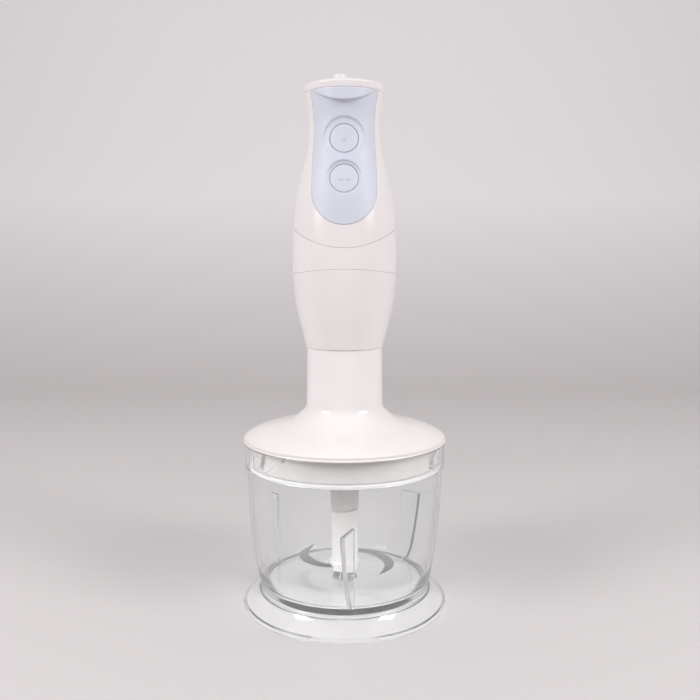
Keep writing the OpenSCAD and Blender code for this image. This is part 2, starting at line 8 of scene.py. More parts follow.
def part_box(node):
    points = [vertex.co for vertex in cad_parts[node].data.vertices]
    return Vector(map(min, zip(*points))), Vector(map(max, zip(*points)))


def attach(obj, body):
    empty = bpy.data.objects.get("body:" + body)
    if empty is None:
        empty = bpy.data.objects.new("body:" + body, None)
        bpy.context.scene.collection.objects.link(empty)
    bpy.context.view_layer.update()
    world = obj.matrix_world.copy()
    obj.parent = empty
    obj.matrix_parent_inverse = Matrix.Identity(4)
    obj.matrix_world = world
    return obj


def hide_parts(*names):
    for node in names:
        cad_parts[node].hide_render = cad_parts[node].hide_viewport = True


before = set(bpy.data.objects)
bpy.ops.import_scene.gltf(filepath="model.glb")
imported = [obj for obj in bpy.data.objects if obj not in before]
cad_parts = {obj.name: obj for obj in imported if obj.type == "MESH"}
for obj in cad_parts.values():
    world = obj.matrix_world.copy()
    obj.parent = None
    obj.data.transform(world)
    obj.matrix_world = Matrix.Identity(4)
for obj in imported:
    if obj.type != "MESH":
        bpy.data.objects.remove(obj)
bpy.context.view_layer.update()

context = bpy.context

# ---- Studio ---------------------------------------------------------------
# A seamless sheet of pale paper: the floor runs back and curves up into the wall. Its colour is painted
# darker on the floor and paler up the wall, painted shade and painted light that even out how the lamps
# fall on it. Two softboxes stand left and right of the camera, and a wide one hangs above.

sheet_half = 2.2
sheet_back = 0.70
sheet_bend = 0.5
sheet_top = 1.4
# Painted shade on the floor and painted light up the wall, blended by height.
floor_painted_shade = (0.655, 0.622, 0.628, 1)
wall_painted_light = (0.95, 0.925, 0.93, 1)
painted_light_top_z = 0.30

bpy.ops.object.select_all(action="DESELECT")
bpy.ops.mesh.primitive_plane_add(size=sheet_half * 2)
paper_sheet = context.object
paper_sheet.name = "paper_sheet"
bpy.ops.object.mode_set(mode="EDIT")
context.tool_settings.mesh_select_mode = (False, True, False)
bpy.ops.mesh.select_all(action="DESELECT")
bpy.ops.object.mode_set(mode="OBJECT")
for edge in paper_sheet.data.edges:
    edge.select = all(paper_sheet.data.vertices[i].co.y > 0 for i in edge.vertices)
bpy.ops.object.mode_set(mode="EDIT")
bpy.ops.transform.translate(value=(0, sheet_back - sheet_half, 0))
for k in range(16):
    a, b = (math.pi / 2 * (k + i) / 16 for i in (0, 1))
    rise = sheet_bend * (math.cos(a) - math.cos(b))
    run = sheet_bend * (math.sin(b) - math.sin(a))
    bpy.ops.mesh.extrude_edges_move(TRANSFORM_OT_translate={"value": (0, run, rise)})
bpy.ops.mesh.extrude_edges_move(TRANSFORM_OT_translate={"value": (0, 0, sheet_top)})
bpy.ops.mesh.select_all(action="SELECT")
bpy.ops.mesh.normals_make_consistent(inside=False)
bpy.ops.object.mode_set(mode="OBJECT")
bpy.ops.object.shade_smooth()

paper = bpy.data.materials.new("backdrop_paper")
paper.use_nodes = True
paper_shader = paper.node_tree.nodes["Principled BSDF"]
paper_place = paper.node_tree.nodes.new("ShaderNodeTexCoord")
paper_height = paper.node_tree.nodes.new("ShaderNodeSeparateXYZ")
painted_light_ramp = paper.node_tree.nodes.new("ShaderNodeMapRange")
painted_light_ramp.inputs["From Min"].default_value = 0.0
painted_light_ramp.inputs["From Max"].default_value = painted_light_top_z
painted_light_mix = paper.node_tree.nodes.new("ShaderNodeMix")
painted_light_mix.data_type = "RGBA"
# A mix node's colour sockets share their names with its number sockets, so they go by place.
painted_light_mix.inputs[6].default_value = floor_painted_shade
painted_light_mix.inputs[7].default_value = wall_painted_light
paper.node_tree.links.new(paper_place.outputs["Object"], paper_height.inputs["Vector"])
paper.node_tree.links.new(paper_height.outputs["Z"], painted_light_ramp.inputs["Value"])
paper.node_tree.links.new(painted_light_ramp.outputs["Result"], painted_light_mix.inputs[0])
paper.node_tree.links.new(painted_light_mix.outputs[2], paper_shader.inputs["Base Color"])
paper_shader.inputs["Roughness"].default_value = 0.95
paper_shader.inputs["Specular IOR Level"].default_value = 0.05
paper_sheet.data.materials.append(paper)


def softbox(name, at, aim, size, power):
    """A rectangular light at a place, facing a point."""
    bpy.ops.object.light_add(type="AREA", location=at)
    lamp = context.object
    lamp.name = name
    lamp.rotation_euler = (Vector(aim) - Vector(at)).to_track_quat("-Z", "Y").to_euler()
    lamp.data.shape = "RECTANGLE"
    lamp.data.size, lamp.data.size_y = size
    lamp.data.energy = power


softbox("softbox_left", (-0.75, -0.45, 0.60), (0, 0, 0.14), (0.34, 0.44), 4.9)
softbox("softbox_right", (0.75, -0.45, 0.60), (0, 0, 0.14), (0.34, 0.44), 4.7)
softbox("softbox_top", (0, -0.2, 1.3), (0, 0.1, 0), (1.8, 1.4), 2.35)

world = bpy.data.worlds.new("studio_world")
context.scene.world = world
world.use_nodes = True
world.node_tree.nodes["Background"].inputs["Color"].default_value = (1.0, 0.985, 0.985, 1)
world.node_tree.nodes["Background"].inputs["Strength"].default_value = 0.49

# ---- Camera ---------------------------------------------------------------
# Close in, level with the lower part of the handle and tipped slightly down.

bpy.ops.object.camera_add(location=(0.003, -0.450, 0.1965),
                          rotation=(math.radians(90 - 6.85), 0, 0))
camera = context.object
camera.data.sensor_width = 36
camera.data.lens = 42.3
camera.data.clip_start = 0.01
context.scene.camera = camera
context.scene.view_settings.view_transform = "Standard"
context.scene.cycles.use_denoising = True
context.scene.cycles.transmission_bounces = 16
context.scene.cycles.max_bounces = 16
context.scene.cycles.transparent_max_bounces = 24

# ---- Bowl -----------------------------------------------------------------
# The cup is one injection moulding in clear styrene copolymer: a thin curved wall that steps out
# into a collar, a raised boss in the floor, three swirled ribs and three J-shaped bayonet tracks.

bowl_low, bowl_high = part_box("bowl")
collar_r = bowl_high.x
rim_z = bowl_high.z
wall_t = 0.002
floor_z = 0.0133
waist_r = 0.0477
waist_z = 0.0125
ledge_z = 0.079
wall_top_r = 0.0541
collar_in = collar_r - wall_t
axis_r = 1e-5


def rounded(corners, steps=5):
    """Turn (radius, height, fillet) corners into points, each fillet as an arc."""
    points = []
    for i, (r, z, fillet) in enumerate(corners):
        here = Vector((r, z))
        if fillet == 0:
            points.append((r, z))
            continue
        back = (Vector(corners[i - 1][:2]) - here).normalized()
        on = (Vector(corners[(i + 1) % len(corners)][:2]) - here).normalized()
        half = back.angle(on) / 2
        middle = (back + on).normalized() / math.sin(half)
        start = (back / math.tan(half) - middle) * fillet
        end = (on / math.tan(half) - middle) * fillet
        sweep = math.atan2(start.x * end.y - start.y * end.x, start.dot(end))
        for s in range(steps + 1):
            c, d = math.cos(sweep * s / steps), math.sin(sweep * s / steps)
            arm = Vector((start.x * c - start.y * d, start.x * d + start.y * c))
            points.append(tuple(here + middle * fillet + arm))
    return points


def turned(name, outline, steps=144, closed=True):
    """Turn an outline of (radius, height) points about Z. A radius of 0 closes on the axis."""
    points = [(max(r, axis_r), z) for r, z in outline]
    if closed:
        points.append(points[0])
    bpy.ops.object.select_all(action="DESELECT")
    bpy.ops.mesh.primitive_circle_add(vertices=steps, radius=points[0][0], location=(0, 0, points[0][1]))
    piece = context.object
    piece.name = piece.data.name = name
    bpy.ops.object.transform_apply(location=True)
    bpy.ops.object.mode_set(mode="EDIT")
    context.tool_settings.mesh_select_mode = (True, False, False)
    bpy.ops.mesh.select_all(action="SELECT")
    for (r0, z0), (r1, z1) in zip(points, points[1:]):
        bpy.ops.mesh.extrude_edges_move(TRANSFORM_OT_translate={"value": (0, 0, z1 - z0)})
        bpy.ops.transform.resize(value=(r1 / r0, r1 / r0, 1), center_override=(0, 0, z1))
    bpy.ops.mesh.select_all(action="SELECT")
    bpy.ops.mesh.remove_doubles(threshold=2.5e-5)
    bpy.ops.mesh.normals_make_consistent(inside=False)
    bpy.ops.object.mode_set(mode="OBJECT")
    return piece


def placed(piece, matrix):
    """Put a piece somewhere and keep the place in its mesh."""
    bpy.ops.object.select_all(action="DESELECT")
    piece.select_set(True)
    context.view_layer.objects.active = piece
    piece.matrix_world = matrix @ piece.matrix_world
    bpy.ops.object.transform_apply(location=True, rotation=True, scale=True)
    return piece


def block(low, high, edge=0.0):
    """A square block between two corners, its edges rounded if edge is given."""
    bpy.ops.object.select_all(action="DESELECT")
    bpy.ops.mesh.primitive_cube_add(size=1, location=(Vector(low) + Vector(high)) / 2)
    piece = context.object
    piece.scale = Vector(high) - Vector(low)
    bpy.ops.object.transform_apply(location=True, rotation=True, scale=True)
    if edge:
        bpy.ops.object.mode_set(mode="EDIT")
        bpy.ops.mesh.select_all(action="SELECT")
        bpy.ops.mesh.bevel(offset=edge, segments=3, affect="EDGES")
        bpy.ops.object.mode_set(mode="OBJECT")
    return piece


def cut_with(piece, tool, operation="DIFFERENCE"):
    """Cut, trim or join a piece with another solid, which is used up."""
    bpy.ops.object.select_all(action="DESELECT")
    piece.select_set(True)
    context.view_layer.objects.active = piece
    step = piece.modifiers.new("cut", "BOOLEAN")
    step.operation = operation
    step.solver = "EXACT"
    step.object = tool
    bpy.ops.object.modifier_apply(modifier=step.name)
    bpy.data.objects.remove(tool, do_unlink=True)
    return piece


def twin_of(piece, matrix=Matrix()):
    """A copy with its own mesh, put somewhere."""
    twin = piece.copy()
    twin.data = piece.data.copy()
    context.collection.objects.link(twin)
    return placed(twin, matrix)


def third_turn(k):
    """One of the three equal places round the axis."""
    return Matrix.Rotation(math.radians(120 * k), 4, "Z")


def smoothed(piece, angle=35, edge=0.0, rounds=2, crowding=2e-5):
    """Merge stray points, ease the sharp edges and shade the piece smooth between its corners."""
    bpy.ops.object.select_all(action="DESELECT")
    piece.select_set(True)
    context.view_layer.objects.active = piece
    bpy.ops.object.mode_set(mode="EDIT")
    bpy.ops.mesh.select_all(action="SELECT")
    bpy.ops.mesh.remove_doubles(threshold=crowding)
    bpy.ops.mesh.dissolve_degenerate(threshold=1e-5)
    bpy.ops.object.mode_set(mode="OBJECT")
    if edge:
        step = piece.modifiers.new("edge", "BEVEL")
        step.width = edge
        step.segments = rounds
        step.limit_method = "ANGLE"
        step.angle_limit = math.radians(40)
        step.use_clamp_overlap = False
        bpy.ops.object.modifier_apply(modifier=step.name)
    bpy.ops.object.shade_smooth_by_angle(angle=math.radians(angle))
    step = piece.modifiers.new("shade", "WEIGHTED_NORMAL")
    step.keep_sharp = True
    bpy.ops.object.modifier_apply(modifier=step.name)
    return piece


def dressed(piece, name, finish, slot, body, *nodes):
    """Name a piece, give it its finish, and let it ride in place of its node."""
    piece.name = piece.data.name = name
    piece.data.materials.clear()
    piece.data.materials.append(finish)
    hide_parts(*nodes)
    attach(piece, body)


def wall_out(z):
    """Outer radius of the cup's curved wall."""
    return waist_r + (wall_top_r - waist_r) * (1 - ((ledge_z - z) / (ledge_z - waist_z)) ** 2)


wall_zs = [waist_z + (ledge_z - 0.0015 - waist_z) * s / 24 for s in range(25)]
inner_zs = [0.0215 + (ledge_z - 0.0015 - 0.0215) * s / 20 for s in range(21)]
cup = turned("bowl_cup", rounded(
    [(0, bowl_low.z, 0), (waist_r - 0.0006, bowl_low.z, 0.0009)]
    + [(wall_out(z), z, 0) for z in wall_zs]
    + [(wall_top_r, ledge_z, 0.0003), (collar_r, ledge_z + 0.0010, 0.0005), (collar_r, rim_z, 0.0006),
       (collar_in, rim_z, 0.0006), (collar_in, ledge_z, 0.0004), (wall_top_r - wall_t, ledge_z, 0.0005)]
    + [(wall_out(z) - wall_t, z, 0) for z in reversed(inner_zs)]
    + [(0.0450, floor_z, 0.0040), (0.0070, floor_z, 0.0009), (0.0050, floor_z + 0.0034, 0.0006),
       (0, floor_z + 0.0034, 0)]), closed=False)

rib_azimuth = -1.5
rib_swirl = -30
rib_root = 0.052
rib_t = 0.002
rib_low, rib_shoulder, rib_top = floor_z - 0.001, 0.0535, 0.0558
rib = block((-rib_t / 2, -0.003, rib_low), (rib_t / 2, 0.0116, rib_top))
bpy.ops.object.mode_set(mode="EDIT")
bpy.ops.mesh.select_all(action="DESELECT")
bpy.ops.object.mode_set(mode="OBJECT")
for vertex in rib.data.vertices:
    vertex.select = vertex.co.y < 0.005 and vertex.co.z > rib_shoulder
bpy.ops.object.mode_set(mode="EDIT")
bpy.ops.transform.translate(value=(0, 0, rib_shoulder - rib_top))
bpy.ops.mesh.select_all(action="SELECT")
bpy.ops.mesh.bevel(offset=0.0006, segments=3, affect="EDGES")
bpy.ops.object.mode_set(mode="OBJECT")
placed(rib, Matrix.Rotation(math.radians(rib_azimuth), 4, "Z") @ Matrix.Translation((0, -rib_root, 0))
       @ Matrix.Rotation(math.radians(rib_swirl), 4, "Z"))
cut_with(rib, turned("inside", [(0, floor_z - 0.0009), (0.0455, floor_z - 0.0009)]
                     + [(wall_out(z) - 0.001, z) for z in wall_zs[2:]] + [(0, wall_zs[-1])], closed=False),
         "INTERSECT")

lug_azimuth = -57
track_low = 0.0834
track_t = 0.001
track_in = 0.0514
ramp_top = 0.0911
flat_a = 7
ramp_a = 14
ramp_run = math.radians(ramp_a) * collar_in
ramp_slope = math.atan2(ramp_top - track_low, ramp_run)


def along_track(piece, azimuth, z, tilt=0.0):
    """Stand a bar, made along X at the origin, on the collar's wall."""
    return placed(piece, Matrix.Rotation(math.radians(azimuth), 4, "Z")
                  @ Matrix.Translation((0, -collar_in, z)) @ Matrix.Rotation(-tilt, 4, "Y"))


flat_half = math.radians(flat_a + 3.6) * collar_in / 2
track = along_track(block((-flat_half, -0.004, -track_t), (flat_half, 0.004, 0), 0.0003),
                    lug_azimuth + (flat_a - 3.2) / 2, track_low)
ramp_half = ramp_run / math.cos(ramp_slope) / 2 + 0.0003
ramp = along_track(block((-ramp_half, -0.004, -track_t / 2), (ramp_half, 0.004, track_t / 2), 0.0003),
                   lug_azimuth + flat_a + ramp_a / 2, (track_low + ramp_top - track_t) / 2, ramp_slope)
stop = along_track(block((-0.0005, -0.004, -0.0006), (0.0005, 0.004, 0.0056), 0.0003),
                   lug_azimuth - 3.9, track_low)
cut_with(track, ramp, "UNION")
cut_with(track, stop, "UNION")
cut_with(track, turned("collar_space", [(track_in, 0.081), (collar_in + 0.0005, 0.081),
                                        (collar_in + 0.0005, 0.0925), (track_in, 0.0925)], 192),
         "INTERSECT")
for k in range(3):
    cut_with(cup, twin_of(rib, third_turn(k)), "UNION")
    cut_with(cup, twin_of(track, third_turn(k)), "UNION")
bpy.data.objects.remove(rib, do_unlink=True)
bpy.data.objects.remove(track, do_unlink=True)
smoothed(cup, angle=40)


def node_group(name, inputs, outputs):
    """An empty shader node group with its sockets, and its two end nodes."""
    tree = bpy.data.node_groups.new(name, "ShaderNodeTree")
    for label, kind, value in inputs:
        socket = tree.interface.new_socket(label, in_out="INPUT", socket_type="NodeSocket" + kind)
        socket.default_value = value
    for label, kind in outputs:
        tree.interface.new_socket(label, in_out="OUTPUT", socket_type="NodeSocket" + kind)
    return tree, tree.nodes.new("NodeGroupInput"), tree.nodes.new("NodeGroupOutput")


def noise(tree, vector, scale, detail=2.0, rough=0.5):
    """A noise pattern of a scale, given as a number or as a socket."""
    node = tree.nodes.new("ShaderNodeTexNoise")
    node.inputs["Detail"].default_value = detail
    node.inputs["Roughness"].default_value = rough
    tree.links.new(vector, node.inputs["Vector"])
    if isinstance(scale, (int, float)):
        node.inputs["Scale"].default_value = scale
    else:
        tree.links.new(scale, node.inputs["Scale"])
    return node.outputs["Fac"]


def maths(tree, operation, a, b, clamp=False):
    """One arithmetic step on two values, given as numbers or as sockets."""
    node = tree.nodes.new("ShaderNodeMath")
    node.operation = operation
    node.use_clamp = clamp
    for socket, value in zip(node.inputs, (a, b)):
        if isinstance(value, (int, float)):
            socket.default_value = value
        else:
            tree.links.new(value, socket)
    return node.outputs[0]


def blend(tree, factor, a, b):
    """Mix two colours."""
    node = tree.nodes.new("ShaderNodeMix")
    node.data_type = "RGBA"
    tree.links.new(factor, node.inputs["Factor"])
    for socket, value in ((node.inputs["A"], a), (node.inputs["B"], b)):
        if isinstance(value, tuple):
            socket.default_value = value
        else:
            tree.links.new(value, socket)
    return node.outputs["Result"]


# What a moulded surface has: a slow drift in shade, polish that varies, and a fine skin.
moulded, start, end = node_group(
    "moulded_skin",
    [("Colour", "Color", (0.8, 0.8, 0.8, 1)), ("Shade", "Color", (0.7, 0.7, 0.7, 1)),
     ("Polish", "Float", 0.2), ("Polish Spread", "Float", 0.05),
     ("Drift Scale", "Float", 25.0), ("Skin Scale", "Float", 900.0)],
    [("Colour", "Color"), ("Roughness", "Float"), ("Height", "Float")])
place = moulded.nodes.new("ShaderNodeTexCoord").outputs["Object"]
drift = noise(moulded, place, start.outputs["Drift Scale"], 3)
moulded.links.new(blend(moulded, drift, start.outputs["Colour"], start.outputs["Shade"]),
                  end.inputs["Colour"])
patchy = maths(moulded, "SUBTRACT", noise(moulded, place, 90, 4), 0.5)
moulded.links.new(maths(moulded, "ADD", start.outputs["Polish"],
                        maths(moulded, "MULTIPLY", patchy, start.outputs["Polish Spread"]), True),
                  end.inputs["Roughness"])
moulded.links.new(noise(moulded, place, start.outputs["Skin Scale"], 2), end.inputs["Height"])


def moulded_finish(name, colour, shade, polish, spread, drift_scale, skin_scale, skin_depth):
    """A material with the moulded skin feeding its shader."""
    finish = bpy.data.materials.new(name)
    finish.use_nodes = True
    tree = finish.node_tree
    shader = tree.nodes["Principled BSDF"]
    skin = tree.nodes.new("ShaderNodeGroup")
    skin.node_tree = moulded
    values = (("Colour", (*colour, 1)), ("Shade", (*shade, 1)), ("Polish", polish),
              ("Polish Spread", spread), ("Drift Scale", drift_scale), ("Skin Scale", skin_scale))
    for label, value in values:
        skin.inputs[label].default_value = value
    bump = tree.nodes.new("ShaderNodeBump")
    bump.inputs["Strength"].default_value = 0.42
    bump.inputs["Distance"].default_value = skin_depth
    tree.links.new(skin.outputs["Height"], bump.inputs["Height"])
    tree.links.new(skin.outputs["Colour"], shader.inputs["Base Color"])
    tree.links.new(skin.outputs["Roughness"], shader.inputs["Roughness"])
    tree.links.new(bump.outputs["Normal"], shader.inputs["Normal"])
    return finish, shader


def clear_finish(name, colour, shade, polish):
    """Clear polished styrene: it refracts, and lets light pass to what is inside."""
    finish, shader = moulded_finish(name, colour, shade, polish, 0.03, 30, 260, 2e-6)
    shader.inputs["Transmission Weight"].default_value = 0.94
    shader.inputs["IOR"].default_value = 1.5
    tree = finish.node_tree
    passing = tree.nodes.new("ShaderNodeBsdfTransparent")
    passing.inputs["Color"].default_value = (0.985, 0.988, 0.988, 1)
    ray = tree.nodes.new("ShaderNodeLightPath")
    choice = tree.nodes.new("ShaderNodeMixShader")
    tree.links.new(ray.outputs["Is Shadow Ray"], choice.inputs["Fac"])
    tree.links.new(shader.outputs["BSDF"], choice.inputs[1])
    tree.links.new(passing.outputs["BSDF"], choice.inputs[2])
    tree.links.new(choice.outputs["Shader"], tree.nodes["Material Output"].inputs["Surface"])
    return finish


clear_styrene = clear_finish("clear_styrene", (0.955, 0.965, 0.965), (0.94, 0.955, 0.955), 0.03)
dressed(cup, "bowl_cup", clear_styrene, "clear_plastic", "bowl", "bowl")

# ---- Foot of the bowl -------------------------------------------------------
# A flared skirt, moulded in the same clear plastic and welded under the cup.
# It stands on its thin straight rim.

foot_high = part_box("bowl_foot")[1]
foot_r = foot_high.x
rim_h = 0.0022


def foot_out(z):
    """Outer radius of the flared skirt."""
    return waist_r + (foot_r - waist_r) * (1 - (z - rim_h) / (waist_z - rim_h)) ** 2.2


flare_zs = [rim_h + (foot_high.z - 0.0008 - rim_h) * s / 12 for s in range(13)]
flare_in = [rim_h + (foot_high.z - 0.0024 - rim_h) * s / 12 for s in range(13)]
skirt = turned("bowl_skirt", rounded(
    [(0.0452, foot_high.z, 0.0003), (foot_out(foot_high.z), foot_high.z, 0.0003)]
    + [(foot_out(z), z, 0) for z in reversed(flare_zs)]
    + [(foot_r, 0, 0.0005), (foot_r - wall_t, 0, 0.0005)]
    + [(foot_out(z) - wall_t, z, 0) for z in flare_in]
    + [(0.0452, foot_high.z - 0.0024, 0.0003)]), 192)
smoothed(skirt, angle=40)
# The foot's tint is painted darker than the cup's: painted shade for the shadowed floor seen through it.
clear_foot_painted_shade = clear_finish("clear_styrene_foot_painted_shade", (0.93, 0.94, 0.94), (0.90, 0.915, 0.915), 0.06)
dressed(skirt, "bowl_skirt", clear_foot_painted_shade, "clear_plastic", "bowl", "bowl_foot")

# ---- Pin and bushing --------------------------------------------------------
# A ground steel pin moulded into the bowl's floor carries the blade unit on a sintered
# bronze sleeve. Both keep the shapes that they have in the frame.

metal, start, end = node_group(
    "worked_metal",
    [("Colour", "Color", (0.6, 0.6, 0.6, 1)), ("Shade", "Color", (0.5, 0.5, 0.5, 1)),
     ("Polish", "Float", 0.3), ("Polish Spread", "Float", 0.1),
     ("Line Scale", "Vector", (30.0, 30.0, 900.0))],
    [("Colour", "Color"), ("Roughness", "Float"), ("Height", "Float")])
stretch = metal.nodes.new("ShaderNodeVectorMath")
stretch.operation = "MULTIPLY"
metal.links.new(metal.nodes.new("ShaderNodeTexCoord").outputs["Object"], stretch.inputs[0])
metal.links.new(start.outputs["Line Scale"], stretch.inputs[1])
lines = noise(metal, stretch.outputs[0], 1.0, 4, 0.6)
metal.links.new(blend(metal, lines, start.outputs["Colour"], start.outputs["Shade"]), end.inputs["Colour"])
metal.links.new(maths(metal, "ADD", start.outputs["Polish"],
                      maths(metal, "MULTIPLY", maths(metal, "SUBTRACT", lines, 0.5),
                            start.outputs["Polish Spread"]), True), end.inputs["Roughness"])
metal.links.new(lines, end.inputs["Height"])


def metal_finish(name, colour, shade, polish, line_scale, depth=3e-6, metallic=1.0):
    """A material with tool marks that run one way."""
    finish = bpy.data.materials.new(name)
    finish.use_nodes = True
    tree = finish.node_tree
    shader = tree.nodes["Principled BSDF"]
    shader.inputs["Metallic"].default_value = metallic
    marks = tree.nodes.new("ShaderNodeGroup")
    marks.node_tree = metal
    values = (("Colour", (*colour, 1)), ("Shade", (*shade, 1)), ("Polish", polish),
              ("Polish Spread", polish * 0.6), ("Line Scale", line_scale))
    for label, value in values:
        marks.inputs[label].default_value = value
    bump = tree.nodes.new("ShaderNodeBump")
    bump.inputs["Strength"].default_value = 0.4
    bump.inputs["Distance"].default_value = depth
    tree.links.new(marks.outputs["Height"], bump.inputs["Height"])
    tree.links.new(marks.outputs["Colour"], shader.inputs["Base Color"])
    tree.links.new(marks.outputs["Roughness"], shader.inputs["Roughness"])
    tree.links.new(bump.outputs["Normal"], shader.inputs["Normal"])
    return finish


def refinish(finish, *nodes):
    """Give a node of the frame its finish."""
    for name in nodes:
        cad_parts[name].material_slots[0].material = finish


turned_steel = metal_finish("turned_steel", (0.62, 0.62, 0.63), (0.50, 0.50, 0.51), 0.22, (40, 40, 3000))
refinish(turned_steel, "blade_pin")
bronze = metal_finish("sintered_bronze", (0.60, 0.42, 0.20), (0.46, 0.31, 0.14), 0.42, (900, 900, 900))
refinish(bronze, "hub_bushing")

# ---- Blade hub --------------------------------------------------------------
# The white acetal tower that the two blades are moulded into. It swells at the bottom, its
# shoulder is cut on a slant, and three jaws on its neck meet the gearbox's spindle.

hub_low, hub_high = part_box("blade_hub")
hub_r = 0.0076
bushing_r = 0.0044
neck_r = 0.0055
shoulder_z = 0.0526
jaw_z = 0.060
pin_top = 0.044
tower = turned("blade_tower", rounded(
    [(bushing_r, hub_low.z, 0), (hub_r + 0.0002, hub_low.z, 0.0004),
     (hub_r + 0.0012, hub_low.z + 0.005, 0.0008),
     (hub_r, hub_low.z + 0.0056, 0.0004), (hub_r, 0.0308, 0), (hub_r - 0.00016, 0.0311, 0),
     (hub_r, 0.0314, 0),
     (hub_r, shoulder_z + 0.0012, 0), (neck_r, shoulder_z + 0.0012, 0.0002), (neck_r, hub_high.z, 0.0004),
     (0.0024, hub_high.z, 0.0003), (0.0024, jaw_z, 0), (0, jaw_z, 0), (0, pin_top + 0.002, 0),
     (bushing_r, pin_top + 0.002, 0)]), 96)
slant = turned("slant", [(neck_r + 0.00002, 0), (0.016, 0), (0.016, 0.003), (neck_r + 0.00002, 0.003)], 96)
placed(slant, Matrix.Translation((0, 0, shoulder_z)) @ Matrix.Rotation(math.radians(-7), 4, "Y"))
cut_with(tower, slant)
for k in range(3):
    gap_block = block((0.001, -0.0017, jaw_z + 0.00001), (0.008, 0.0017, 0.070))
    cut_with(tower, placed(gap_block, third_turn(k) @ Matrix.Rotation(math.radians(-30), 4, "Z")))
smoothed(tower, angle=38, edge=0.00018)
acetal, _ = moulded_finish("white_acetal", (0.84, 0.80, 0.79), (0.80, 0.765, 0.755), 0.22, 0.06, 60, 1400,
                           3e-6)
dressed(tower, "blade_tower", acetal, "white_gloss", "blade_unit", "blade_hub")

# ---- Blades -----------------------------------------------------------------
# Two sickle blades stamped from stainless strip, one above the other and turned half a turn.
# The outer curve is ground to an edge and the root is moulded into the tower.

blade_t = 0.0012
blade_r = 0.020
bite_r = 0.0234
grind = 0.0021
blade_steel = metal_finish("ground_steel", (0.47, 0.48, 0.48), (0.36, 0.37, 0.37), 0.30, (120, 2600, 120))
for k, node in enumerate(("lower_blade", "upper_blade")):
    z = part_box(node)[0].z
    sickle = turned("sickle", rounded(
        [(0, z, 0), (blade_r - grind, z, 0), (blade_r, z + 0.00035, 0), (blade_r, z + 0.0005, 0),
         (blade_r - grind, z + blade_t, 0), (0, z + blade_t, 0)]), 160, closed=False)
    placed(sickle, Matrix.Translation((-0.007, 0.0145, 0)))
    bite = turned("bite", [(0, z - 0.001), (bite_r, z - 0.001), (bite_r, z + 0.003), (0, z + 0.003)], 160,
                  closed=False)
    cut_with(sickle, placed(bite, Matrix.Translation((0.0017, 0.0185, 0))))
    cut_with(sickle,
             turned("bore", [(0, z - 0.001), (0.0052, z - 0.001), (0.0052, z + 0.003), (0, z + 0.003)], 64,
                            closed=False))
    placed(sickle, Matrix.Rotation(math.pi * k, 4, "Z"))
    smoothed(sickle, angle=20, edge=0.00008)
    dressed(sickle, node.replace("_", "_sickle_"), blade_steel, "blade_steel", "blade_unit", node)

# ---- Seal -------------------------------------------------------------------
# A flat ring of clear-white silicone on the step inside the bowl's mouth.
# The lid's skirt presses on it, and it turns with the lid.

seal_low, seal_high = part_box("lid_seal")
seal = turned("seal_ring", rounded(
    [(0.0496, seal_low.z, 0.0003), (seal_high.x, seal_low.z, 0.0005), (seal_high.x, seal_high.z, 0.0005),
     (0.0496, seal_high.z, 0.0003)]), 192)
smoothed(seal, angle=40)
silicone, shader = moulded_finish("white_silicone", (0.78, 0.76, 0.76), (0.72, 0.70, 0.70), 0.45, 0.1, 40,
                                  700, 8e-6)
shader.inputs["Subsurface Weight"].default_value = 0.2
shader.inputs["Subsurface Radius"].default_value = (0.003, 0.003, 0.003)
dressed(seal, "seal_ring", silicone, "seal_rubber", "seal", "lid_seal")

# ---- Underside of the lid ---------------------------------------------------
# A white moulding under the dome: a skirt that fills the bowl's mouth, a tube for the spindle, a
# cone over the tower, and three lugs, each hung from the rim by a short curved stalk.

base_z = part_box("lid_seal")[1].z + 0.00005
base_t = 0.002
skirt_r = 0.051
skirt_in = 0.049
cover_low = rim_z + 0.0003
floor_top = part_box("lid_base")[1].z
gear_floor_r = 0.01880
lid_under = turned("lid_underside", rounded(
    [(0.0060, 0.0540, 0), (0.0079, 0.0540, 0.0004), (0.0082, 0.0685, 0.0006), (0.0094, 0.0705, 0.0008),
     (0.0106, 0.0793, 0.0010), (0.0114, base_z, 0.0005), (skirt_r, base_z, 0.0009),
     (skirt_r, cover_low + 0.0001, 0.0004), (0.0524, cover_low + 0.0001, 0.0002), (0.0524, 0.0943, 0.0002),
     (skirt_in, 0.0943, 0.0002), (skirt_in, base_z + base_t, 0.0008), (0.0090, base_z + base_t, 0.0008),
     (0.0090, floor_top - 0.0025, 0.0006), (gear_floor_r, floor_top - 0.0025, 0.0003),
     (gear_floor_r, floor_top, 0.0003), (0.0065, floor_top, 0.0003), (0.0065, 0.0970, 0), (0.0050, 0.0970, 0),
     (0.0050, 0.0840, 0), (0.0065, 0.0840, 0), (0.0065, 0.0690, 0), (0.0060, 0.0690, 0)]), 144)
screw_r = 0.030
for k in range(3):
    seat = turned("seat", [(0, base_z - 0.001), (0.0032, base_z - 0.001), (0.0032, base_z + 0.001),
                           (0.0017, base_z + 0.001), (0.0017, base_z + 0.004), (0, base_z + 0.004)], 32,
                  closed=False)
    cut_with(lid_under, placed(seat, third_turn(k) @ Matrix.Rotation(math.radians(30), 4, "Z")
                               @ Matrix.Translation((screw_r, 0, 0))))
lug_z = 0.0867
lug_r = 0.0026
lug_out = 0.0530
lug = turned("lug", rounded(
    [(0, 0.0500, 0), (lug_r, 0.0500, 0), (lug_r, lug_out, 0.0004), (0.0018, lug_out, 0.0002),
     (0.0018, lug_out - 0.0003, 0.0001), (0.0008, lug_out - 0.0003, 0.0001), (0.0008, lug_out, 0.0001),
     (0, lug_out, 0)], 4), 48, closed=False)
placed(lug, Matrix.Translation((0, 0, lug_z)) @ Matrix.Rotation(math.pi / 2, 4, "X"))
bpy.ops.object.select_all(action="DESELECT")
bpy.ops.curve.primitive_bezier_curve_add(enter_editmode=False)
stalk = context.object
stalk.data.dimensions = "3D"
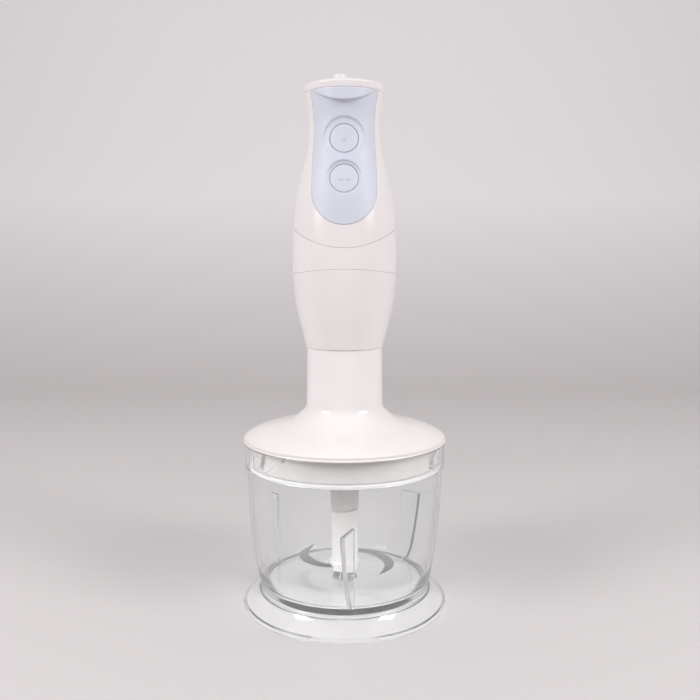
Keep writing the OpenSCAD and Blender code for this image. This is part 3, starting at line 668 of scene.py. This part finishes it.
for point, place, reach in zip(stalk.data.splines[0].bezier_points,
                               ((0.0019, lug_z - 0.0004), (0.0031, rim_z + 0.0003)),
                               ((0.0016, 0.0018), (0, 0.0030))):
    point.handle_left_type = point.handle_right_type = "FREE"
    point.co = (place[0], -0.0521, place[1])
    point.handle_left = (place[0] - reach[0], -0.0521, place[1] - reach[1])
    point.handle_right = (place[0] + reach[0], -0.0521, place[1] + reach[1])
stalk.data.resolution_u = 10
stalk.data.bevel_depth = 0.0006
stalk.data.bevel_resolution = 3
stalk.data.use_fill_caps = True
stalk.select_set(True)
context.view_layer.objects.active = stalk
bpy.ops.object.convert(target="MESH")
stalk = context.object
cut_with(lug, placed(stalk, Matrix()), "UNION")
placed(lug, Matrix.Rotation(math.radians(lug_azimuth), 4, "Z"))
for k in range(3):
    cut_with(lid_under, twin_of(lug, third_turn(k)), "UNION")
bpy.data.objects.remove(lug, do_unlink=True)
smoothed(lid_under, angle=38)
lid_white, shader = moulded_finish("lid_white", (0.86, 0.815, 0.815), (0.82, 0.775, 0.775), 0.20, 0.05, 30,
                                   650, 3e-6)
shader.inputs["Coat Weight"].default_value = 0.15
shader.inputs["Coat Roughness"].default_value = 0.08
# The underside's white is painted darker than the dome's: painted shade for the shadow under the lid's rim.
underside_painted_shade, _ = moulded_finish("lid_underside_painted_shade", (0.66, 0.625, 0.62), (0.62, 0.585, 0.58), 0.30, 0.08, 40,
                                900, 4e-6)
dressed(lid_under, "lid_underside", underside_painted_shade, "white_gloss", "lid", "lid_base")
refinish(turned_steel, "lid_screws", "output_spindle", "planet_pins")
refinish(bronze, "spindle_bushings")

# ---- Dome of the lid --------------------------------------------------------
# The glossy white cover: a broad dome that sweeps up into a straight neck. Screws from below hold
# the underside to three bosses, and a spigot with three lugs locks into the handle.

lid_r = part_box("lid_cover")[1].x
lid_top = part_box("lid_cover")[1].z
joint_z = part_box("lower_housing")[0].z - 0.00015
neck_r_out = 0.02095
neck_in = neck_r_out - 0.002
spigot_r = 0.0156


def flowing(points, steps=6):
    """A smooth curve through (radius, height) points."""
    run = [points[0]] + points + [points[-1]]
    curve = []
    for a, b, c, d in zip(run, run[1:], run[2:], run[3:]):
        for s in range(steps):
            t = s / steps
            curve.append(tuple(
                0.5 * (2 * q + (r - p) * t + (2 * p - 5 * q + 4 * r - v) * t * t
                       + (3 * q - p - 3 * r + v) * t ** 3) for p, q, r, v in zip(a, b, c, d)))
    return curve + [points[-1]]


dome_out = flowing([(0.0553, 0.0953), (0.0530, 0.0967), (0.0480, 0.0988), (0.0420, 0.1005), (0.0360, 0.1018),
                    (0.0310, 0.1034), (0.0270, 0.1057), (0.0240, 0.1083), (0.0220, 0.1104),
                    (0.0212, 0.1124), (neck_r_out, 0.1150)])
dome_in = flowing([(neck_in, 0.1125), (0.0203, 0.1084), (0.0226, 0.1060), (0.0260, 0.1035), (0.0305, 0.1012),
                   (0.0360, 0.0996), (0.0420, 0.0985), (0.0480, 0.0968), (0.0526, 0.0948)])
dome = turned("lid_dome", rounded([(0.0536, cover_low, 0.0002), (lid_r, cover_low, 0.0003),
                                   (lid_r, cover_low + 0.0013, 0.0007)])
              + dome_out
              + rounded([(neck_r_out, joint_z, 0.0004), (spigot_r, joint_z, 0.0003),
                         (spigot_r, lid_top, 0.0004),
                         (0.0132, lid_top, 0.0004), (0.0132, joint_z - 0.003, 0.0003),
                         (neck_in, joint_z - 0.003, 0.0003)])
              + dome_in, 192)
for k in range(3):
    boss = turned("boss", [(0.0015, base_z + base_t + 0.0001), (0.0034, base_z + base_t + 0.0001),
                           (0.0034, 0.1018), (0.0015, 0.1018)], 48)
    cut_with(dome, placed(boss, third_turn(k) @ Matrix.Rotation(math.radians(30), 4, "Z")
                          @ Matrix.Translation((screw_r, 0, 0))), "UNION")
    key = block((spigot_r - 0.0006, -0.0034, 0.1510), (0.0173, 0.0034, 0.1550), 0.0004)
    cut_with(dome, placed(key, third_turn(k) @ Matrix.Rotation(math.radians(30 - 90), 4, "Z")), "UNION")
smoothed(dome, angle=38)
dressed(dome, "lid_dome", lid_white, "white_gloss", "lid", "lid_cover")

# ---- Gearbox ----------------------------------------------------------------
# Planet gears in the neck slow the motor down for the blades: natural nylon wheels on steel
# pins, under a natural cover. All keep the shapes that they have in the frame.

nylon, shader = moulded_finish("natural_nylon", (0.70, 0.66, 0.56), (0.64, 0.60, 0.50), 0.42, 0.1, 60, 800,
                               5e-6)
shader.inputs["Subsurface Weight"].default_value = 0.1
shader.inputs["Subsurface Radius"].default_value = (0.002, 0.002, 0.0015)
refinish(nylon, "ring_gear", "gearbox_cover", "sun_gear", "planet_carrier", "planet_gear_1", "planet_gear_2",
         "planet_gear_3", "bayonet_ring", "chassis", "cord_clamp", "speed_plunger", "turbo_plunger")
black_nylon, _ = moulded_finish("black_nylon", (0.018, 0.018, 0.020), (0.030, 0.030, 0.032), 0.45, 0.12, 90,
                                1200, 8e-6)
refinish(black_nylon, "input_coupling", "drive_dog", "cooling_fan", "end_bell", "microswitches", "rectifier")

# ---- Lower part of the handle -----------------------------------------------
# A white skirt round the joint with the lid. Its top edge is arched, and the two upper shells
# stand on it. Inside, a slotted floor lets the cooling air through.

body_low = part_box("lower_housing")[0].z
cap_z = 0.2796
shell_t = 0.0022
knots = [(body_low, 0.0211), (0.152, 0.0229), (0.160, 0.0249), (0.170, 0.0268), (0.184, 0.0280),
         (0.202, 0.02775),
         (0.218, 0.0267), (0.230, 0.0248), (0.240, 0.0223), (0.250, 0.0199), (0.262, 0.01885),
         (0.272, 0.0196),
         (0.2824, 0.0212)]
frown_r = 0.135
frown_z = 0.1873 - frown_r
seam = 0.00004


def body_r(z):
    """Outer radius of the handle, on a smooth curve through the knots."""
    i = 0
    while i < len(knots) - 2 and z >= knots[i + 1][0]:
        i += 1
    slopes = []
    for j in (i, i + 1):
        a, b = knots[max(j - 1, 0)], knots[min(j + 1, len(knots) - 1)]
        slopes.append((b[1] - a[1]) / (b[0] - a[0]))
    span = knots[i + 1][0] - knots[i][0]
    t = (z - knots[i][0]) / span
    return (knots[i][1] * (2 * t ** 3 - 3 * t * t + 1) + knots[i + 1][1] * (3 * t * t - 2 * t ** 3)
            + span * slopes[0] * (t ** 3 - 2 * t * t + t) + span * slopes[1] * (t ** 3 - t * t))


def side(z0, z1, grow=0.0, step=0.0016):
    """Points up the handle's side from one height to another, grown or shrunk."""
    count = max(2, math.ceil(abs(z1 - z0) / step))
    heights = [z0 + (z1 - z0) * s / count for s in range(count + 1)]
    return [(body_r(z) + grow, z) for z in heights]


def body_form(z0, z1, grow, steps=144):
    """The handle's solid form between two heights."""
    return turned("form", [(0, z0)] + side(z0, z1, grow) + [(0, z1)], steps, closed=False)


def body_shell(name, z0, z1):
    """The handle's wall between two heights."""
    return turned(name, side(z0, z1) + side(z1, z0, -shell_t))


def rod(radius, y0, y1, x=0.0, z=0.0, steps=96, back_radius=None):
    """A round tool that lies along Y, from one depth to another."""
    bpy.ops.object.select_all(action="DESELECT")
    bpy.ops.mesh.primitive_cone_add(vertices=steps, radius1=radius, radius2=back_radius or radius,
                                    depth=y1 - y0, location=(x, (y0 + y1) / 2, z),
                                    rotation=(-math.pi / 2, 0, 0))
    bpy.ops.object.transform_apply(location=True, rotation=True, scale=True)
    return context.object


housing = turned("handle_skirt", side(body_low, 0.190) + side(0.190, 0.163, -shell_t)
                 + [(0.0075, 0.1630), (0.0050, 0.1630), (0.0050, 0.1560), (0.0075, 0.1560), (0.0075, 0.1602)]
                 + side(0.1602, body_low, -shell_t))
cut_with(housing, rod(frown_r, -0.06, 0.06, 0, frown_z, 640), "INTERSECT")
for k in range(6):
    slot_tool = turned("air_slot", [(0, 0.159), (0.004, 0.159), (0.004, 0.164), (0, 0.164)], 40, closed=False)
    cut_with(housing, placed(slot_tool, Matrix.Rotation(math.radians(60 * k), 4, "Z")
                             @ Matrix.Translation((0.014, 0, 0))))
smoothed(housing, edge=0.00016, crowding=0.00006)
handle_white, shader = moulded_finish("handle_white", (0.815, 0.765, 0.765), (0.775, 0.725, 0.73), 0.24, 0.05,
                                      28, 650, 3e-6)
shader.inputs["Coat Weight"].default_value = 0.12
shader.inputs["Coat Roughness"].default_value = 0.10
dressed(housing, "handle_skirt", handle_white, "white_gloss", "handle", "lower_housing")

# ---- Front cover ------------------------------------------------------------
# The front half of the upper handle ends below in a round smile-shaped edge. A shallow recess
# takes the soft pad, two collars guide the buttons, and a post takes the screw from the back.

smile_r = 0.042
smile_z = 0.1982 + smile_r
pad_half = 0.0169
pad_low = 0.210
pad_top = 0.279
pad_proud = 0.00035
pad_deep = 0.0012
button_r = 0.0072
well_r = button_r + 0.00026
button_zs = (0.254, 0.2335)
button_backs = (-0.0154, -0.0180)
screw_z = 0.272


def smile_form(grow):
    """The front cover's outline as a solid: round below, straight up from its widest point."""
    form = rod(smile_r + grow, -0.06, 0.06, 0, smile_z, 320)
    return cut_with(form, block((-smile_r - grow, -0.06, smile_z), (smile_r + grow, 0.06, 0.300)), "UNION")


def pad_form(grow):
    """The soft pad's outline as a solid: a round lower end, sides that draw in and flare again."""
    centre = pad_low + pad_half
    form = rod(pad_half + grow, -0.062, -0.002, 0, centre, 192)
    bars = [(pad_half, centre), (0.01675, 0.236), (0.0165, 0.245), (0.0160, 0.254), (0.0157, 0.262),
            (0.0162, 0.270), (0.0168, 0.2745), (0.0176, pad_top)]
    bpy.ops.object.select_all(action="DESELECT")
    bpy.ops.mesh.primitive_plane_add(size=1, location=(0, -0.032, centre))
    column = context.object
    column.scale = (2 * (pad_half + grow), 0.060, 1)
    bpy.ops.object.transform_apply(location=True, rotation=True, scale=True)
    bpy.ops.object.mode_set(mode="EDIT")
    context.tool_settings.mesh_select_mode = (False, False, True)
    bpy.ops.mesh.select_all(action="SELECT")
    for (half0, z0), (half1, z1) in zip(bars, bars[1:]):
        bpy.ops.mesh.extrude_region_move(TRANSFORM_OT_translate={"value": (0, 0, z1 - z0)})
        ratio = (half1 + grow) / (half0 + grow)
        bpy.ops.transform.resize(value=(ratio, 1, 1), center_override=(0, 0, z1))
    bpy.ops.transform.translate(value=(0, 0, min(grow, 0)))
    bpy.ops.mesh.select_all(action="SELECT")
    bpy.ops.mesh.normals_make_consistent(inside=False)
    bpy.ops.object.mode_set(mode="OBJECT")
    return cut_with(form, column, "UNION")


cover = body_shell("front_cover_shell", 0.190, cap_z - 0.0001)
cut_with(cover, block((-0.06, -0.06, 0.180), (0.06, -seam, 0.290)), "INTERSECT")
cut_with(cover, smile_form(-seam), "INTERSECT")
recess = turned("recess", side(0.200, 0.2800, 0.001) + side(0.2800, 0.200, -pad_deep))
cut_with(recess, pad_form(0), "INTERSECT")
cut_with(cover, recess)
smoothed(cover, edge=0.00016, crowding=0.00006)
for z, collar_back in zip(button_zs, (-0.0166, -0.0190)):
    collar = rod(well_r + 0.0014, -0.030, collar_back, 0, z)
    cut_with(cover, cut_with(collar, body_form(0.200, cap_z, -0.0013), "INTERSECT"), "UNION")
    cut_with(cover, rod(well_r, -0.040, -0.006, 0, z, 128))
post = rod(0.003, -0.030, -0.0005, 0, screw_z, 48)
cut_with(cover, cut_with(post, body_form(0.200, cap_z, -0.0013), "INTERSECT"), "UNION")
cut_with(cover, rod(0.0013, -0.010, 0.001, 0, screw_z, 32))
smoothed(cover)
cover_white, shader = moulded_finish("cover_white", (0.80, 0.75, 0.755), (0.765, 0.715, 0.72), 0.24, 0.05, 28,
                                     650, 3e-6)
shader.inputs["Coat Weight"].default_value = 0.12
shader.inputs["Coat Roughness"].default_value = 0.10
dressed(cover, "front_cover_shell", cover_white, "white_gloss", "handle", "front_cover")

# ---- Rear shell -------------------------------------------------------------
# The back half of the upper handle also closes the front between the arched edge below and the
# cover's smile. Five vents let the air in, and one screw near the top holds the halves together.

rear = body_shell("rear_shell_half", 0.180, cap_z - 0.0001)
cut_with(rear, rod(frown_r + 0.00006, -0.06, 0.06, 0, frown_z, 640))
front_gap = smile_form(seam)
cut_with(front_gap, block((-0.06, -0.06, 0.150), (0.06, 0, 0.310)), "INTERSECT")
cut_with(rear, front_gap)
for k in range(5):
    vent = block((-0.009, 0.010, 0.258 - 0.006 * k), (0.009, 0.040, 0.260 - 0.006 * k), 0.0006)
    cut_with(rear, vent)
for boss_r, y0 in ((0.0030, 0.0003), (0.0044, 0.012)):
    boss = rod(boss_r, y0, 0.030, 0, screw_z, 48)
    cut_with(rear, cut_with(boss, body_form(0.200, cap_z - 0.0001, -0.001), "INTERSECT"), "UNION")
cut_with(rear, rod(0.0016, -0.001, 0.040, 0, screw_z, 32))
cut_with(rear, rod(0.0032, body_r(screw_z) - 0.0032, 0.040, 0, screw_z, 48))
smoothed(rear, edge=0.00016, crowding=0.00006)
dressed(rear, "rear_shell_half", handle_white, "white_gloss", "handle", "rear_shell")

# ---- Soft pad ---------------------------------------------------------------
# Pale blue thermoplastic rubber moulded over the cover's recess. A thumb lip stands out along its
# top, and a shallow round dish surrounds each button.

lip_r = 0.0175
lip_y = -0.0062


def laid_on_handle(piece, x, z, back=None, tilt=0.0):
    """Bend a piece, made flat about Z, so that it lies on the handle's front at a place."""
    placed(piece, Matrix.Translation((x, 0, z)) @ Matrix.Rotation(math.pi / 2, 4, "X"))
    for vertex in piece.data.vertices:
        if back is not None and vertex.co.y > 0.004:
            vertex.co.y = back
        else:
            skin = math.sqrt(max(body_r(vertex.co.z) ** 2 - vertex.co.x ** 2, 0))
            vertex.co.y += tilt * (vertex.co.z - z) - skin
    return piece


pad = turned("soft_pad", side(0.200, 0.2800, pad_proud) + side(0.2800, 0.200, -pad_deep + 0.00003))
cut_with(pad, pad_form(-0.00006), "INTERSECT")
smoothed(pad, edge=0.00022, rounds=3, crowding=0.00015)
lip = turned("lip", [(0, 0.262), (lip_r, 0.262), (lip_r, pad_top - 0.0001), (0, pad_top - 0.0001)], 192,
             closed=False)
placed(lip, Matrix.Translation((0, lip_y, 0)))
cut_with(lip, rod(0.026, -0.060, -0.002, 0, 0.2987, 256), "INTERSECT")
cut_with(lip, pad_form(-0.00012), "INTERSECT")
cut_with(lip, body_form(0.255, 0.2810, -0.0009))
step = lip.modifiers.new("even", "REMESH")
step.mode = "VOXEL"
step.voxel_size = 0.00025
bpy.ops.object.modifier_apply(modifier=step.name)
step = lip.modifiers.new("soften", "SMOOTH")
step.factor = 0.5
step.iterations = 8
bpy.ops.object.modifier_apply(modifier=step.name)
cut_with(pad, lip, "UNION")
for z, tilt, width in ((button_zs[0], 0.02, 0.0106), (button_zs[1], 0.055, 0.0088)):
    dish = turned("dish", [(0, -0.012), (button_r + 0.00008, -0.012), (button_r + 0.00008, -0.0010),
                           (well_r, -0.0009), (well_r, -0.00072), (well_r + 0.0001, -0.00058),
                           (well_r + 0.0003, -0.00050), (width - 0.0007, -0.00046),
                           (width - 0.0003, -0.00034),
                           (width, -0.00010), (width + 0.0003, 0.00022), (width + 0.0006, 0.00052),
                           (width + 0.0010, 0.0016), (width + 0.0010, 0.004), (0, 0.004)], 160, closed=False)
    cut_with(pad, laid_on_handle(dish, 0, z, tilt=tilt))
smoothed(pad, angle=50)
blue_rubber, shader = moulded_finish("pale_blue_rubber", (0.612, 0.631, 0.712), (0.590, 0.609, 0.694), 0.46,
                                     0.10,
                                     30, 1500, 8e-6)
shader.inputs["Subsurface Weight"].default_value = 0.08
shader.inputs["Subsurface Radius"].default_value = (0.002, 0.002, 0.002)
dressed(pad, "soft_pad_blue", blue_rubber, "blue_soft", "handle", "soft_pad")

# ---- Buttons ----------------------------------------------------------------
# Two round keys in the same pale blue, each a cap on a stem that presses a microswitch. The
# upper one has one raised dot and the lower one has two, to tell them apart by touch.

button_blue, _ = moulded_finish("button_blue", (0.621, 0.640, 0.721), (0.599, 0.618, 0.703), 0.42, 0.08, 40,
                                1500,
                                6e-6)
stem_end = -0.01135
for name, z, back, dots in (("speed", button_zs[0], button_backs[0], (0,)),
                            ("turbo", button_zs[1], button_backs[1], (-0.0019, 0.0019))):
    key = turned("key", rounded(
        [(0, -0.010, 0), (button_r, -0.010, 0), (button_r, -0.0012, 0), (button_r, -0.00042, 0.0005),
         (0.0060, -0.00036, 0), (0.0030, -0.00034, 0), (0, -0.00034, 0)], 4), 128, closed=False)
    laid_on_handle(key, 0, z, back, 0.02)
    cut_with(key, rod(0.002, back - 0.0005, stem_end, 0, z, 48), "UNION")
    for x in dots:
        dot = turned("dot", rounded([(0, -0.0014, 0), (0.0008, -0.0014, 0), (0.0007, 0.00015, 0.0004),
                                     (0, 0.00015, 0)], 4), 32, closed=False)
        cut_with(key, laid_on_handle(dot, x, z - 0.0004), "UNION")
    smoothed(key)
    dressed(key, name + "_key_cap", button_blue, "blue_soft", name + "_key", name + "_button")

# ---- Cap and cord gland -----------------------------------------------------
# A white cap closes the top of the handle with a low dome. The mains lead enters through a short
# gland near its middle, clamped inside.

cap_edge = 0.0206
dome_h = 0.0032
dome_r = (cap_edge ** 2 + dome_h ** 2) / (2 * dome_h)
top_z = 0.2824
gland_x, gland_y = -0.0024, 0.0020


def cap_dome(inset):
    """Points over the cap's dome, from its edge to the middle."""
    edge = cap_edge - inset
    points = []
    for s in range(1, 13):
        r = edge * (1 - s / 12)
        points.append((r, top_z + 0.0009 + dome_h - inset - (dome_r - math.sqrt(dome_r ** 2 - r * r))))
    return points


cap = turned("top_cap_dome", [(body_r(cap_z) - shell_t, cap_z), (body_r(cap_z), cap_z)]
             + rounded([(body_r(cap_z), cap_z, 0), (0.0212, top_z, 0.0006),
                        (cap_edge, top_z + 0.0009, 0.0006),
                        (0.0190, top_z + 0.0014, 0)])[1:-1]
             + cap_dome(0) + list(reversed(cap_dome(shell_t))) + [(0.0184, top_z - 0.0005)], 160)
bore = turned("bore", [(0, 0.270), (0.0036, 0.270), (0.0036, 0.300), (0, 0.300)], 64, closed=False)
cut_with(cap, placed(bore, Matrix.Translation((gland_x, gland_y, 0))))
smoothed(cap)
dressed(cap, "top_cap_dome", handle_white, "white_gloss", "handle", "top_cap")

gland_low, gland_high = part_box("cord_gland")
gland = turned("cord_gland_sleeve", rounded(
    [(0.0026, gland_low.z, 0.0002), (0.0050, gland_low.z, 0.0003), (0.0050, gland_low.z + 0.003, 0.0003),
     (0.0035, gland_low.z + 0.003, 0.0002), (0.0035, 0.28655, 0), (0.0045, 0.28655, 0.0002),
     (0.0045, 0.2873, 0.0003), (0.0035, 0.2873, 0.0002), (0.0034, gland_high.z, 0.0005),
     (0.0026, gland_high.z, 0.0003)]), 64)
placed(gland, Matrix.Translation((gland_x, gland_y, 0)))
smoothed(gland)
gland_white, _ = moulded_finish("white_rubber", (0.80, 0.77, 0.77), (0.76, 0.73, 0.73), 0.40, 0.1, 60, 1200,
                                6e-6)
dressed(gland, "cord_gland_sleeve", gland_white, "seal_rubber", "handle", "cord_gland")

# ---- Motor and electrics ----------------------------------------------------
# A brushed mains motor in a plated steel can hangs in two rubber rings. Its brushes, rectifier,
# capacitor and switches sit above it. All keep the shapes that they have in the frame.

refinish(metal_finish("plated_can", (0.58, 0.58, 0.56), (0.50, 0.50, 0.48), 0.30, (60, 60, 600)), "motor_can")
refinish(turned_steel, "motor_shaft", "housing_screws", "speed_spring", "turbo_spring")
refinish(bronze, "motor_bearings")
refinish(metal_finish("stamped_brass", (0.68, 0.50, 0.22), (0.56, 0.40, 0.16), 0.30, (300, 60, 300)),
         "brush_holders")
copper = metal_finish("enamelled_copper", (0.58, 0.24, 0.10), (0.42, 0.15, 0.06), 0.32, (2600, 2600, 500),
                      2e-5)
refinish(copper, "armature_windings", "commutator")
refinish(metal_finish("stacked_steel", (0.24, 0.25, 0.26), (0.12, 0.12, 0.13), 0.45, (60, 60, 2600), 2e-5),
         "armature_core")
refinish(moulded_finish("ferrite", (0.035, 0.035, 0.037), (0.055, 0.055, 0.058), 0.6, 0.1, 120, 1800,
                        1e-5)[0],
         "motor_magnets")
refinish(moulded_finish("carbon_graphite", (0.02, 0.02, 0.02), (0.04, 0.04, 0.04), 0.5, 0.2, 200, 2500,
                        1e-5)[0],
         "carbon_brushes")
refinish(moulded_finish("black_mount_rubber", (0.015, 0.015, 0.015), (0.03, 0.03, 0.03), 0.7, 0.1, 80, 900,
                        1e-5)[0], "motor_mounts")
refinish(moulded_finish("epoxy_board", (0.022, 0.16, 0.06), (0.035, 0.21, 0.085), 0.35, 0.1, 160, 2200,
                        4e-6)[0],
         "circuit_board")
refinish(moulded_finish("dipped_film", (0.66, 0.40, 0.06), (0.58, 0.33, 0.04), 0.30, 0.1, 60, 700, 8e-6)[0],
         "capacitor")
